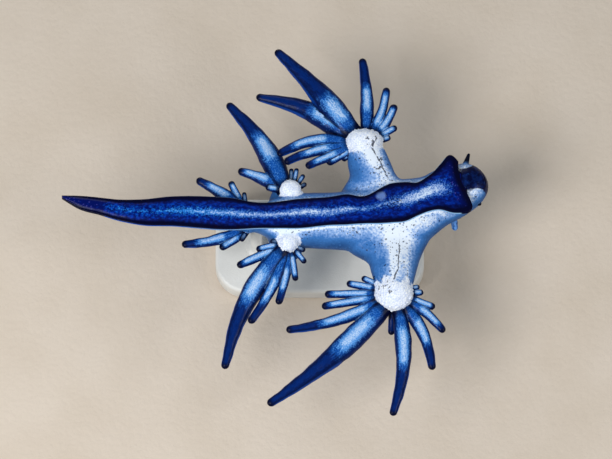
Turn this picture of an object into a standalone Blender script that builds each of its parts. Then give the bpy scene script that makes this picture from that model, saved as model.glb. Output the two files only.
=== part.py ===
"""A blue dragon sea slug, Glaucus atlanticus, as a still, life-size model on a plain stand.

The animal floats foot upward, as it does at the sea's surface, so its own right side is +Y, and +X points
to the head. Sizes are in millimetres and become metres as each mesh is made. Heights on the animal are
measured down from its sole, and an empty lifts it above the stand. Bearings are in degrees, from +X
towards +Y.
"""

import math
from collections import namedtuple

import bmesh
import bpy
import numpy as np
from mathutils import Euler, Matrix, Vector

# Driving sizes, in millimetres.
MM = 0.001
GAP = 0.3
THINNEST = 0.5
SOLE_HEIGHT = 11.5
FOOT_THICKNESS = 0.55
FLESH_TOP = -(FOOT_THICKNESS + GAP)

# Where the body is parted, along x.
TAIL_TIP_END = -24.35
TAIL_TIP = (TAIL_TIP_END, -20.2)
TAIL_MIDDLE = (-19.9, -15.3)
TAIL_BASE = (-15.0, -9.9)
BODY_REAR = (-9.6, -5.2)
BODY_MIDDLE = (-4.9, 2.3)
BODY_FRONT = (2.6, 10.0)
NECK = (10.3, 13.5)
FOOT_REAR = (-19.9, -9.9)
FOOT_MIDDLE = (-9.6, 2.3)
FOOT_FRONT = (2.6, 13.5)

# The neck turns towards +Y, so the cross-sections lean from here forward.
LEAN_FROM, LEAN_TO, LEAN = 9.0, 13.0, 0.26

# The foot's wavy outline: x, middle y, half width.
FOOT = (
    (TAIL_TIP_END, 1.5, 0.15),
    (-22.7, 0.97, 0.66),
    (-20.7, 0.57, 0.88),
    (-19.0, 0.2, 1.05),
    (-17.0, 0.0, 1.28),
    (-13.5, 0.08, 1.52),
    (-11.3, -0.02, 1.62),
    (-9.0, -0.15, 1.65),
    (-5.5, -0.35, 1.3),
    (-1.9, -0.15, 1.5),
    (1.0, 0.1, 1.45),
    (2.5, 0.25, 1.55),
    (4.0, 0.2, 1.4),
    (6.7, 0.9, 2.0),
    (8.1, 1.05, 2.0),
    (9.2, 1.3, 1.7),
    (10.2, 1.8, 1.75),
    (11.0, 2.15, 1.95),
    (12.0, 2.4, 2.55),
    (13.0, 2.85, 2.95),
    (13.5, 2.85, 2.65),
)

# The body under the foot: x, middle y, half width, lowest point.
BODY = (
    (TAIL_TIP_END, 1.5, 0.15, -0.45),
    (-20.7, 0.58, 0.6, -1.4),
    (-17.0, -0.03, 0.8, -1.95),
    (-13.5, 0.05, 0.9, -2.4),
    (-10.0, -0.12, 0.9, -2.8),
    (-7.5, -0.3, 0.95, -3.15),
    (-5.6, -0.25, 1.25, -3.5),
    (-4.5, -0.2, 2.0, -3.85),
    (-3.0, -0.15, 2.45, -4.2),
    (-1.0, -0.1, 2.65, -4.5),
    (1.5, -0.1, 2.75, -4.75),
    (4.5, 0.1, 3.15, -4.9),
    (7.5, 0.55, 3.4, -4.9),
    (10.0, 1.15, 3.15, -4.75),
    (11.5, 2.2, 2.7, -4.5),
    (13.5, 3.0, 2.3, -4.1),
)

# The head in front of the foot: x, middle y, half width, lowest point, highest point.
HEAD = (
    (13.8, 3.15, 2.3, -4.05, -0.15),
    (14.6, 3.4, 2.0, -3.8, -0.2),
    (15.2, 3.55, 1.55, -3.3, -0.45),
    (15.65, 3.6, 1.0, -2.8, -0.95),
    (15.9, 3.62, 0.45, -2.3, -1.45),
)

# The mouth opens forward and up, between two lips.
MOUTH = Vector((15.4, 3.45, -0.9))
MOUTH_TURN = Euler((0.0, math.radians(-45.0), math.radians(16.0)))
LIPS = (0.32, 0.8, 0.45)
MOUTH_LINE = (0.5, 0.62, 0.09)

# Arms: distance out from the midline, middle x, half width, middle height, half height.
ARM_FRONT_LEFT = (
    (1.5, 6.3, 4.3, -2.8, 1.8),
    (3.2, 6.35, 3.4, -2.75, 1.8),
    (4.0, 6.85, 2.6, -2.55, 1.75),
    (5.4, 6.95, 2.15, -2.1, 1.6),
    (6.75, 6.95, 1.85, -1.65, 1.4),
)
ARM_FRONT_RIGHT = (
    (1.5, 5.6, 4.2, -2.8, 1.8),
    (3.3, 5.4, 3.2, -2.75, 1.8),
    (4.3, 5.1, 2.3, -2.5, 1.75),
    (5.5, 4.7, 2.1, -2.1, 1.6),
    (6.7, 4.45, 1.8, -1.65, 1.4),
)
ARM_MIDDLE = (
    (1.0, -3.2, 1.8, -3.0, 0.85),
    (2.6, -3.15, 1.6, -3.0, 0.8),
    (3.5, -3.05, 1.2, -2.95, 0.7),
    (3.9, -3.0, 0.75, -2.9, 0.4),
)

# A ceras springs from the rim of a cushion. Its shape is given by the bearings of its root and its tip
# from the cushion's middle, how far the tip reaches from there, its girth, how far the tip drops below
# the middle, and how far it bows to its own left.
Ceras = namedtuple("Ceras", "root tip reach girth drop bow")
# A cushion is parted by upright cuts into sectors, each from one bearing to another, with its cerata.
Sector = namedtuple("Sector", "name start end cerata")
Cushion = namedtuple("Cushion", "name middle radii sectors")

CUSHIONS = (
    Cushion("front_left", Vector((6.95, -7.6, -1.5)), Vector((1.77, 1.77, 1.35)), (
        Sector("tailward", 90, 254, (
            Ceras(132, 140, 2.5, 0.65, 0.0, 0.0),
            Ceras(146, 153, 3.4, 0.7, 0.2, 0.0),
            Ceras(160, 167, 4.6, 0.8, 0.3, 0.0),
            Ceras(180, 180, 6.5, 0.85, 0.5, 0.0),
            Ceras(195, 190, 6.9, 0.9, 0.6, 0.0),
            Ceras(215, 199, 10.7, 1.25, 0.8, 0.5),
            Ceras(238, 222, 15.9, 2.25, 1.4, 0.5),
        )),
        Sector("outer", 254, 334, (
            Ceras(266, 266, 3.6, 0.75, 1.8, 0.0),
            Ceras(289, 269, 11.8, 1.6, 1.3, 0.85),
            Ceras(313, 296, 8.2, 1.3, 1.0, 0.65),
            Ceras(330, 322, 6.0, 1.0, 0.7, 0.35),
        )),
        Sector("headward", 334, 450, (
            Ceras(346, 341, 4.1, 0.8, 0.5, 0.0),
            Ceras(362, 362, 2.8, 0.7, 0.3, 0.0),
            Ceras(377, 374, 2.5, 0.6, 0.1, 0.0),
        )),
    )),
    Cushion("front_right", Vector((4.2, 7.55, -1.5)), Vector((1.73, 1.2, 1.35)), (
        Sector("headward", -75, 108, (
            Ceras(4, 12, 2.6, 0.65, 0.2, 0.0),
            Ceras(18, 27, 3.5, 0.75, 0.2, 0.0),
            Ceras(33, 53, 4.9, 0.95, 0.3, -0.3),
            Ceras(50, 69, 6.1, 1.0, 0.4, -0.3),
            Ceras(78, 91, 8.75, 1.35, 0.6, -0.25),
        )),
        Sector("outer", 108, 172, (
            Ceras(147, 131.5, 12.7, 2.4, 0.4, -0.3),
            Ceras(168, 153.5, 11.5, 2.2, 1.4, -1.0),
        )),
        Sector("tailward", 172, 285, (
            Ceras(186, 191, 8.4, 1.3, -0.7, -0.8),
            Ceras(196, 197, 7.9, 1.15, -0.6, -0.3),
            Ceras(205, 206, 6.2, 1.0, -0.5, 0.0),
            Ceras(214, 213, 4.2, 0.85, -0.2, 0.0),
            Ceras(223, 221, 2.8, 0.7, 0.1, 0.0),
            Ceras(234, 232, 2.3, 0.6, 0.2, 0.0),
        )),
    )),
    Cushion("middle_left", Vector((-3.0, -2.55, -1.5)), Vector((1.05, 1.05, 0.9)), (
        Sector("tailward", 90, 276, (
            Ceras(178, 177, 1.7, 0.6, 0.1, 0.0),
            Ceras(194, 193, 3.1, 0.75, 0.2, 0.0),
            Ceras(211, 205, 5.3, 1.0, 0.5, 0.0),
            Ceras(230, 244, 13.6, 2.05, 1.3, -1.0),
            Ceras(250, 245.5, 8.7, 1.15, 0.6, 0.4),
            Ceras(275, 261, 6.05, 0.95, 0.7, 0.2),
        )),
        Sector("headward", 276, 450, (
            Ceras(297, 281, 3.8, 0.7, 0.5, 0.0),
            Ceras(317, 309, 2.6, 0.6, 0.3, 0.0),
            Ceras(335, 332, 1.8, 0.55, 0.2, 0.0),
        )),
    )),
    Cushion("middle_right", Vector((-2.8, 2.65, -1.5)), Vector((1.0, 1.0, 0.9)), (
        Sector("headward", -90, 96, (
            Ceras(18, 26, 1.7, 0.5, 0.2, 0.0),
            Ceras(37, 54, 2.2, 0.5, 0.5, 0.0),
            Ceras(61, 76, 2.6, 0.5, 0.8, 0.0),
            Ceras(82, 88, 2.6, 0.5, 1.1, 0.0),
        )),
        Sector("tailward", 96, 270, (
            Ceras(103, 102, 3.0, 0.5, 1.3, 0.0),
            Ceras(180, 123, 11.1, 2.2, 1.3, -0.7),
            Ceras(163, 155, 5.5, 1.35, 0.9, -0.25),
            Ceras(176, 170, 2.4, 0.75, 0.2, 0.0),
        )),
    )),
    Cushion("rear_left", Vector((-7.2, -1.75, -1.9)), Vector((0.6, 0.6, 0.6)), (
        Sector("", 0, 360, (
            Ceras(205, 188, 5.95, 1.15, 0.3, 0.3),
            Ceras(222, 209, 2.6, 0.8, 0.3, 0.1),
            Ceras(260, 255, 1.0, 0.55, 0.1, 0.0),
        )),
    )),
    Cushion("rear_right", Vector((-7.3, 1.4, -1.9)), Vector((0.6, 0.6, 0.6)), (
        Sector("", 0, 360, (
            Ceras(155, 149.5, 5.15, 1.35, 0.3, -0.2),
            Ceras(122, 117, 2.7, 0.75, 0.3, 0.0),
            Ceras(88, 86, 1.3, 0.5, 0.1, 0.0),
        )),
    )),
)

# A ceras is slim at its root, widest here along its length, and ends in a round finger tip.
CERAS_WIDEST = 0.34
CERAS_ROOT_GIRTH = 0.75
TIP_GIRTH = 0.72
SLIM_TIP_GIRTH = 0.85
CERAS_FLATNESS = 0.85
# It starts this share of the cushion's first radius out from the middle, and this far under the middle.
CERAS_ROOT_OUT = 0.5
CERAS_ROOT_SINK = 0.15
LONG_CERAS = 5.0

# Feelers: root, tip, thickness at the root and at the tip.
FEELERS = {
    "oral_tentacle_right": (Vector((13.6, 4.5, -1.5)), Vector((14.15, 6.3, -1.3)), 0.85, 0.5),
    "oral_tentacle_left": (Vector((14.3, 2.6, -1.7)), Vector((15.3, 1.1, -1.9)), 1.0, 0.55),
    "rhinophore_right": (Vector((12.1, 3.8, -3.2)), Vector((11.0, 5.6, -4.2)), 0.8, 0.5),
    "rhinophore_left": (Vector((12.6, 1.2, -3.1)), Vector((12.85, -0.5, -4.0)), 0.8, 0.55),
}

BASE_SIZE = Vector((20.0, 9.5, 2.0))
BASE_CORNER = 3.0
BASE_EDGE = 0.3
ROD_THICKNESS = 1.2
ROD_MIDDLES = {"stand_rod_front": (6.0, 0.3), "stand_rod_rear": (-6.0, -0.3)}
# A rod is made up to here, inside the body, whose space then trims it.
ROD_TOP = SOLE_HEIGHT - 2.0

# Each form's step from ring to ring, and the number of points in a ring.
BODY_STEP, BODY_SIDES = 1.3, 18
FOOT_STEP, FOOT_SIDES = 0.9, 10
TAIL_STEP, TAIL_SIDES = 0.8, 14
HEAD_STEP, HEAD_SIDES = 0.25, 20
ARM_STEP, ARM_SIDES = 0.9, 16
LONG_CERAS_RINGS, LONG_CERAS_SIDES = 7, 8
SHORT_CERAS_RINGS, SHORT_CERAS_SIDES = 4, 6
FEELER_RINGS, FEELER_SIDES = 3, 8

# The foot's shoulders are squarer than an oval's.
FOOT_FULLNESS = 0.6
# A round tip has a ring this far back in its cap, and ends in a flat this share of its area.
CAP_RING = 0.4
CAP_FLAT = 0.1
# The space over a sector runs out past every tip, from under the animal to above it.
SECTOR_REACH = 25.0
SECTOR_LOW, SECTOR_HIGH = -8.0, 2.0
# Points nearer than this are one, and edges shorter than this are dropped.
SAME_POINT = 0.002
SHORTEST_EDGE = 0.001
SHARP = math.radians(40.0)


def clear_scene():
    for obj in list(bpy.data.objects):
        bpy.data.objects.remove(obj)


def finish(name, colour, roughness):
    """A plain glossy finish."""
    material = bpy.data.materials.new(name)
    material.use_nodes = True
    shader = material.node_tree.nodes["Principled BSDF"]
    shader.inputs["Base Color"].default_value = (*colour, 1.0)
    shader.inputs["Roughness"].default_value = roughness
    shader.inputs["Metallic"].default_value = 0.0
    return material


def add_object(name, bm):
    """A linked object that holds this bmesh, with every face pointing outward."""
    bmesh.ops.recalc_face_normals(bm, faces=bm.faces)
    mesh = bpy.data.meshes.new(name)
    bm.to_mesh(mesh)
    bm.free()
    obj = bpy.data.objects.new(name, mesh)
    bpy.context.scene.collection.objects.link(obj)
    return obj


def sizes_at(rows, place):
    """The sizes at a place along the rows, on a smooth curve through them."""
    table = np.array(rows, dtype=float)
    places, sizes = table[:, 0], table[:, 1:]
    slopes = np.gradient(sizes, places, axis=0)
    i = int(np.clip(np.searchsorted(places, place) - 1, 0, len(places) - 2))
    step = places[i + 1] - places[i]
    t = (place - places[i]) / step
    start = (2 * t**3 - 3 * t**2 + 1) * sizes[i] + (t**3 - 2 * t**2 + t) * step * slopes[i]
    end = (3 * t**2 - 2 * t**3) * sizes[i + 1] + (t**3 - t**2) * step * slopes[i + 1]
    return start + end


def loft(name, rings):
    """A closed form through rings that have the same number of points, with flat ends."""
    bm = bmesh.new()
    loops = [[bm.verts.new(Vector(point) * MM) for point in ring] for ring in rings]
    for near, far in zip(loops, loops[1:]):
        for k in range(len(near)):
            bm.faces.new((near[k - 1], near[k], far[k], far[k - 1]))
    bm.faces.new(loops[0])
    bm.faces.new(loops[-1])
    return add_object(name, bm)


def oval(sides, half_width, half_height, fullness=1.0):
    """Points round an oval. A fullness under 1 squares its shoulders."""
    for k in range(sides):
        turn = math.tau * (k + 0.5) / sides
        across, up = math.cos(turn), math.sin(turn)
        yield (
            half_width * math.copysign(abs(across) ** fullness, across),
            half_height * math.copysign(abs(up) ** fullness, up),
        )


def lean(x):
    """How far a cross-section's right side lies behind its middle, for each millimetre across."""
    share = min(max((x - LEAN_FROM) / (LEAN_TO - LEAN_FROM), 0.0), 1.0)
    return LEAN * share * share * (3 - 2 * share)


def cross_section(x, middle, half_width, low, high, sides, fullness=1.0):
    """A ring of points across the animal."""
    return [
        (x - lean(x) * across, middle + across, (low + high) / 2 + up)
        for across, up in oval(sides, half_width, (high - low) / 2, fullness)
    ]


def stations(start, end, spacing):
    return np.linspace(start, end, max(2, round((end - start) / spacing) + 1))


def body_length(name, start, end, grow=0.0):
    """A length of the body. Grown, it is the space that its neighbours keep clear of."""
    rings = []
    for x in stations(start, end, BODY_STEP):
        middle, half_width, low = sizes_at(BODY, x)
        high = FLESH_TOP + grow
        rings.append(
            cross_section(x, middle, half_width + grow, low - grow, high, BODY_SIDES)
        )
    return loft(name, rings)


def foot_length(name, start, end, grow=0.0):
    """A length of the foot, a thin flat band on top of the body."""
    rings = []
    for x in stations(start, end, FOOT_STEP):
        middle, half_width = sizes_at(FOOT, x)
        low = -FOOT_THICKNESS - grow
        rings.append(
            cross_section(x, middle, half_width + grow, low, grow, FOOT_SIDES, FOOT_FULLNESS)
        )
    return loft(name, rings)


def tail_end(name):
    """The last of the tail, where foot and body are one."""
    rings = []
    for x in stations(*TAIL_TIP, TAIL_STEP):
        middle, half_width = sizes_at(FOOT, x)
        low = sizes_at(BODY, x)[2]
        rings.append(cross_section(x, middle, half_width, low, 0.0, TAIL_SIDES))
    return loft(name, rings)


def head_form(name, grow=0.0):
    """The blunt head. Grown, it reaches further both forward and back."""
    start, end = HEAD[0][0], HEAD[-1][0]
    rings = []
    for x in stations(start, end, HEAD_STEP):
        middle, half_width, low, high = sizes_at(HEAD, x)
        place = x + grow * (2 * (x - start) / (end - start) - 1)
        rings.append(
            cross_section(place, middle, half_width + grow, low - grow, high + grow, HEAD_SIDES)
        )
    return loft(name, rings)


def arm(name, rows, side, grow=0.0):
    """An arm that grows out to one side, -1 for the left and 1 for the right."""
    rings = []
    for out in stations(rows[0][0], rows[-1][0], ARM_STEP):
        x, half_width, z, half_height = sizes_at(rows, out)
        far = out + grow * (out - rows[0][0]) / (rows[-1][0] - rows[0][0])
        rings.append(
            [
                (x + along, side * far, z + up)
                for along, up in oval(ARM_SIDES, half_width + grow, half_height + grow)
            ]
        )
    return loft(name, rings)


def tube(name, path, girths, sides, flatness=1.0):
    """A tapering form along a path. It is wider across than it is deep, by its flatness."""
    rings = []
    for k, (point, girth) in enumerate(zip(path, girths)):
        ahead = path[min(k + 1, len(path) - 1)] - path[max(k - 1, 0)]
        across = ahead.cross(Vector((0, 0, 1))).normalized()
        up = across.cross(ahead).normalized()
        rings.append(
            [
                point + across * side + up * rise
                for side, rise in oval(sides, girth / 2, girth * flatness / 2)
            ]
        )
    return loft(name, rings)


def tip_rounding(share, cap):
    """The share of its girth that a form keeps where the last of it, its cap, rounds off."""
    past = max(share - (1 - cap), 0.0) / cap
    return math.sqrt(max(1 - past * past, CAP_FLAT))


def rounded_shares(count, cap):
    """Even shares of a length up to its cap, and two more that round the cap off."""
    return [*np.linspace(0.0, 1 - cap, count), 1 - CAP_RING * cap, 1.0]


def bearing(degrees):
    turn = math.radians(degrees)
    return Vector((math.cos(turn), math.sin(turn), 0.0))


def add_ceras(name, cushion, shape):
    """A finger-like ceras, from inside its cushion out to its round tip."""
    root = cushion.middle + bearing(shape.root) * cushion.radii.x * CERAS_ROOT_OUT
    root.z -= CERAS_ROOT_SINK
    tip = cushion.middle + bearing(shape.tip) * shape.reach
    left = Vector((root.y - tip.y, tip.x - root.x, 0.0)).normalized()
    tip_girth = min(TIP_GIRTH, shape.girth * SLIM_TIP_GIRTH)
    swell = (
        (0.0, max(shape.girth * CERAS_ROOT_GIRTH, THINNEST)),
        (CERAS_WIDEST, shape.girth),
        ((1 + CERAS_WIDEST) / 2, (shape.girth + tip_girth) / 2),
        (1.0, tip_girth),
    )
    cap = tip_girth / 2 / (tip - root).length
    if shape.reach > LONG_CERAS:
        count, sides = LONG_CERAS_RINGS, LONG_CERAS_SIDES
    else:
        count, sides = SHORT_CERAS_RINGS, SHORT_CERAS_SIDES
    path, girths = [], []
    for share in rounded_shares(count, cap):
        point = root.lerp(tip, share) + left * shape.bow * math.sin(math.pi * share)
        point.z = root.z - (shape.drop - CERAS_ROOT_SINK) * (1 - (1 - share) ** 2)
        path.append(point)
        girths.append(sizes_at(swell, share)[0] * tip_rounding(share, cap))
    return tube(name, path, girths, sides, CERAS_FLATNESS)


def wedge(name, middle, start, end):
    """An upright prism over a sector, less half a gap on each side."""
    bisector = bearing((start + end) / 2)
    apex = middle + bisector * GAP / 2 / math.sin(math.radians(end - start) / 2)
    rim = [apex + bearing(turn) * SECTOR_REACH for turn in np.linspace(start, end, 9)]
    bm = bmesh.new()
    corners = [bm.verts.new(Vector((p.x, p.y, SECTOR_LOW)) * MM) for p in [apex, *rim]]
    floor = bm.faces.new(corners)
    raised = bmesh.ops.extrude_face_region(bm, geom=[floor])["geom"]
    raised = [item for item in raised if isinstance(item, bmesh.types.BMVert)]
    height = Vector((0, 0, SECTOR_HIGH - SECTOR_LOW))
    bmesh.ops.translate(bm, verts=raised, vec=height * MM)
    return add_object(name, bm)


def ball(name, middle, radii, turn=Euler()):
    bm = bmesh.new()
    place = Matrix.LocRotScale(middle * MM, turn, Vector(radii) * MM)
    bmesh.ops.create_uvsphere(bm, u_segments=20, v_segments=10, radius=1.0, matrix=place)
    return add_object(name, bm)


def apply_modifiers(obj):
    depsgraph = bpy.context.evaluated_depsgraph_get()
    shaped = bpy.data.meshes.new_from_object(obj.evaluated_get(depsgraph))
    obj.modifiers.clear()
    obj.data = shaped


def keep_largest(obj):
    """Drops loose scraps and sealed hollows that a Boolean left, and heals its tiny edges."""
    bm = bmesh.new()
    bm.from_mesh(obj.data)
    bmesh.ops.remove_doubles(bm, verts=bm.verts, dist=SAME_POINT * MM)
    bmesh.ops.dissolve_degenerate(bm, edges=bm.edges, dist=SHORTEST_EDGE * MM)
    unseen = set(bm.verts)
    islands = []
    while unseen:
        front = [unseen.pop()]
        island = set(front)
        while front:
            vert = front.pop()
            near = {edge.other_vert(vert) for edge in vert.link_edges} & unseen
            unseen -= near
            island |= near
            front.extend(near)
        islands.append(island)
    largest = max(islands, key=len)
    bmesh.ops.delete(bm, geom=[v for v in bm.verts if v not in largest], context="VERTS")
    bm.to_mesh(obj.data)
    bm.free()


def boolean(obj, operation, other):
    """Joins, cuts or trims an object by one object or by a collection of them, then tidies it."""
    modifier = obj.modifiers.new(operation, "BOOLEAN")
    modifier.operation = operation
    if isinstance(other, bpy.types.Collection):
        modifier.operand_type = "COLLECTION"
        modifier.collection = other
    else:
        modifier.object = other
    apply_modifiers(obj)
    keep_largest(obj)


def fuse(obj, pieces):
    """Joins closed pieces to an object, and removes them."""
    group = bpy.data.collections.new(obj.name + "_pieces")
    bpy.context.scene.collection.children.link(group)
    for piece in pieces:
        bpy.context.scene.collection.objects.unlink(piece)
        group.objects.link(piece)
    boolean(obj, "UNION", group)
    for piece in pieces:
        bpy.data.objects.remove(piece)
    bpy.data.collections.remove(group)


def cut_clear(obj, cutters):
    for cutter in cutters:
        boolean(obj, "DIFFERENCE", cutter)


def remove_all(objects):
    for obj in objects:
        bpy.data.objects.remove(obj)


def settle(obj, material, parent):
    obj.data.materials.append(material)
    obj.data.shade_smooth()
    obj.data.set_sharp_from_angle(angle=SHARP)
    obj.parent = parent


def add_body(parent, material):
    lengths = {
        "tail_middle": TAIL_MIDDLE,
        "tail_base": TAIL_BASE,
        "body_rear": BODY_REAR,
        "body_middle": BODY_MIDDLE,
        "body_front": BODY_FRONT,
        "neck": NECK,
    }
    for name, (start, end) in lengths.items():
        settle(body_length(name, start, end), material, parent)


def add_foot(parent, material):
    lengths = {"foot_rear": FOOT_REAR, "foot_middle": FOOT_MIDDLE, "foot_front": FOOT_FRONT}
    for name, (start, end) in lengths.items():
        settle(foot_length(name, start, end), material, parent)
    settle(tail_end("tail_tip"), material, parent)


def add_head(parent, material):
    """The head with its lips, and the line of the mouth between them."""
    head = head_form("head")
    fuse(head, [ball("lips", MOUTH, LIPS, MOUTH_TURN)])
    slit = ball("mouth_line", MOUTH, MOUTH_LINE, MOUTH_TURN)
    cut_clear(head, [slit])
    remove_all([slit])
    settle(head, material, parent)


def add_feelers(parent, material, neighbours):
    for name, (root, tip, root_thickness, tip_thickness) in FEELERS.items():
        cap = tip_thickness / 2 / (tip - root).length
        path, girths = [], []
        for share in rounded_shares(FEELER_RINGS, cap):
            path.append(root.lerp(tip, share))
            thickness = root_thickness + (tip_thickness - root_thickness) * share
            girths.append(thickness * tip_rounding(share, cap))
        feeler = tube(name, path, girths, FEELER_SIDES)
        cut_clear(feeler, neighbours)
        settle(feeler, material, parent)


def add_arms(parent, material, body_space):
    arms = {
        "arm_front_left": (ARM_FRONT_LEFT, -1),
        "arm_front_right": (ARM_FRONT_RIGHT, 1),
        "arm_middle_left": (ARM_MIDDLE, -1),
        "arm_middle_right": (ARM_MIDDLE, 1),
    }
    for name, (rows, side) in arms.items():
        node = arm(name, rows, side)
        cut_clear(node, [body_space])
        settle(node, material, parent)


def add_cerata(parent, material, neighbours):
    """Each cushion with its fan of cerata, a node for each sector."""
    for cushion in CUSHIONS:
        for sector in cushion.sectors:
            name = "_".join(filter(None, ("cerata", cushion.name, sector.name)))
            node = ball(name, cushion.middle, cushion.radii)
            fuse(
                node,
                [
                    add_ceras(f"{name}_{k}", cushion, shape)
                    for k, shape in enumerate(sector.cerata)
                ],
            )
            cut_clear(node, neighbours)
            if sector.name:
                space = wedge(name + "_space", cushion.middle, sector.start, sector.end)
                boolean(node, "INTERSECT", space)
                remove_all([space])
            settle(node, material, parent)


def add_stand(material, body_space):
    """A flat rounded base, and two rods up to the belly."""
    bm = bmesh.new()
    place = Matrix.LocRotScale(Vector((0, 0, BASE_SIZE.z / 2)) * MM, None, BASE_SIZE * MM)
    bmesh.ops.create_cube(bm, size=1.0, matrix=place)
    half_way_up = BASE_SIZE.z / 2 * MM
    upright = [e for e in bm.edges if abs(e.verts[0].co.z - e.verts[1].co.z) > half_way_up]
    bmesh.ops.bevel(
        bm, geom=upright, offset=BASE_CORNER * MM, affect="EDGES", segments=6, profile=0.5, material=-1
    )
    top = [e for e in bm.edges if min(v.co.z for v in e.verts) > half_way_up]
    bmesh.ops.bevel(
        bm, geom=top, offset=BASE_EDGE * MM, affect="EDGES", segments=2, profile=0.5, material=-1
    )
    settle(add_object("stand_base", bm), material, None)
    foot_of_rod = BASE_SIZE.z + GAP
    for name, (x, y) in ROD_MIDDLES.items():
        bm = bmesh.new()
        bmesh.ops.create_cone(
            bm, cap_ends=True, segments=16, radius1=ROD_THICKNESS / 2 * MM,
            radius2=ROD_THICKNESS / 2 * MM, depth=(ROD_TOP - foot_of_rod) * MM,
            matrix=Matrix.Translation(Vector((x, y, (foot_of_rod + ROD_TOP) / 2)) * MM),
        )
        rod = add_object(name, bm)
        cut_clear(rod, [body_space])
        settle(rod, material, None)


def main():
    clear_scene()
    deep_blue = finish("deep_blue", (0.02, 0.06, 0.3), 0.25)
    pale_flank = finish("pale_flank", (0.5, 0.62, 0.85), 0.35)
    ceras_blue = finish("ceras_blue", (0.05, 0.16, 0.5), 0.25)
    navy = finish("navy", (0.01, 0.02, 0.1), 0.25)
    pale_stand = finish("pale_stand", (0.85, 0.85, 0.84), 0.4)

    animal = bpy.data.objects.new("animal", None)
    bpy.context.scene.collection.objects.link(animal)
    animal.location.z = SOLE_HEIGHT * MM

    add_body(animal, pale_flank)
    add_foot(animal, deep_blue)
    add_head(animal, navy)

    body_space = body_length("body_space", TAIL_BASE[0], NECK[1], GAP)
    foot_space = foot_length("foot_space", *FOOT_MIDDLE, GAP)
    head_space = head_form("head_space", GAP)
    arm_spaces = [
        arm("arm_space_front_left", ARM_FRONT_LEFT, -1, GAP),
        arm("arm_space_front_right", ARM_FRONT_RIGHT, 1, GAP),
        arm("arm_space_middle_left", ARM_MIDDLE, -1, GAP),
        arm("arm_space_middle_right", ARM_MIDDLE, 1, GAP),
    ]
    add_feelers(animal, navy, [head_space, body_space])
    add_arms(animal, pale_flank, body_space)
    add_cerata(animal, ceras_blue, [body_space, foot_space, *arm_spaces])
    body_space.location.z = SOLE_HEIGHT * MM
    bpy.context.view_layer.update()
    add_stand(pale_stand, body_space)
    remove_all([body_space, foot_space, head_space, *arm_spaces])


main()
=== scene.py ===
import math

import bmesh
import bpy
import numpy as np
from mathutils import Euler, Matrix, Vector, noise


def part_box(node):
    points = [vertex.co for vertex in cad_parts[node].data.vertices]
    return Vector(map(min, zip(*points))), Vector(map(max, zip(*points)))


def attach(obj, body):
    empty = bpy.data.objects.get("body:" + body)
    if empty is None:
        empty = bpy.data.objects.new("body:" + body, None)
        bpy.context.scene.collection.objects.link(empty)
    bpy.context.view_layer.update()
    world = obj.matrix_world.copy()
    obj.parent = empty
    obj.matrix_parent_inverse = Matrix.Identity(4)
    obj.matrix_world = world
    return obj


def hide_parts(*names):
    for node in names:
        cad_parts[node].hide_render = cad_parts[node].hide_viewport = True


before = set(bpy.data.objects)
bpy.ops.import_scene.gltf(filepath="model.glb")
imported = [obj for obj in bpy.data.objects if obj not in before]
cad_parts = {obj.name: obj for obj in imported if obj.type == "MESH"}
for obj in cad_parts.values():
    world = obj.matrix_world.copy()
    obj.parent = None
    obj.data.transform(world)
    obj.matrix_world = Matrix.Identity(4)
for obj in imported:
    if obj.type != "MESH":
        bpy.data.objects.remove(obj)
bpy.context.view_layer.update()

# The trunk and the head.
# The animal's soft muscular body: widest between the front arms, blunt at the head and drawn out to a keel
# under the tail. The model is one cast in soft resin, with all that grows from the trunk in one piece with
# it. Sizes are in millimetres, heights are measured from the sole, and the skin becomes metres when fused.
MM = 0.001
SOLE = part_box("foot_middle")[1].z / MM
# x, middle y, half width, lowest point, highest point
TRUNK = (
    (-24.2, 1.45, 0.15, -0.5, -0.2),
    (-20.7, 0.58, 0.6, -1.4, -0.2),
    (-17.0, -0.03, 0.8, -1.95, -0.2),
    (-13.5, 0.05, 0.9, -2.4, -0.2),
    (-10.0, -0.12, 0.95, -2.8, -0.2),
    (-7.5, -0.3, 1.0, -3.15, -0.2),
    (-5.6, -0.25, 1.3, -3.5, -0.2),
    (-4.5, -0.2, 2.05, -3.85, -0.2),
    (-3.0, -0.15, 2.5, -4.2, -0.2),
    (-1.0, -0.1, 2.7, -4.5, -0.2),
    (1.5, -0.1, 2.8, -4.75, -0.2),
    (4.5, 0.1, 3.2, -4.9, -0.2),
    (7.5, 0.55, 3.45, -4.9, -0.2),
    (10.0, 1.15, 3.2, -4.75, -0.2),
    (11.5, 2.2, 2.75, -4.5, -0.2),
    (13.0, 2.75, 2.4, -4.25, -0.2),
    (13.8, 3.15, 2.3, -4.05, -0.15),
    (14.6, 3.4, 2.0, -3.8, -0.2),
    (15.2, 3.55, 1.55, -3.3, -0.45),
    (15.65, 3.6, 1.0, -2.8, -0.95),
    (15.9, 3.62, 0.45, -2.3, -1.45),
)
TRUNK_SIDES, TRUNK_STEP = 40, 0.25
BALL_SIDES, BALL_RINGS = 48, 24
# The neck turns to the animal's right, and a ring's right side falls back from here forward.
LEAN_FROM, LEAN_TO, LEAN = 9.0, 13.0, 0.26
MOUTH = Vector((15.4, 3.45, -0.9))
MOUTH_TURN = Euler((0.0, math.radians(-45.0), math.radians(16.0)))
LIPS, MOUTH_LINE = (0.32, 0.8, 0.45), (0.5, 0.62, 0.07)
# The crown is navy, with two light patches on it: middle x and y, radius.
CROWN = ((14.75, 3.8, 1.6), (15.5, 3.6, 1.7))
CROWN_PATCHES = ((13.9, 5.1, 0.55), (15.05, 1.95, 0.65))
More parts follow.
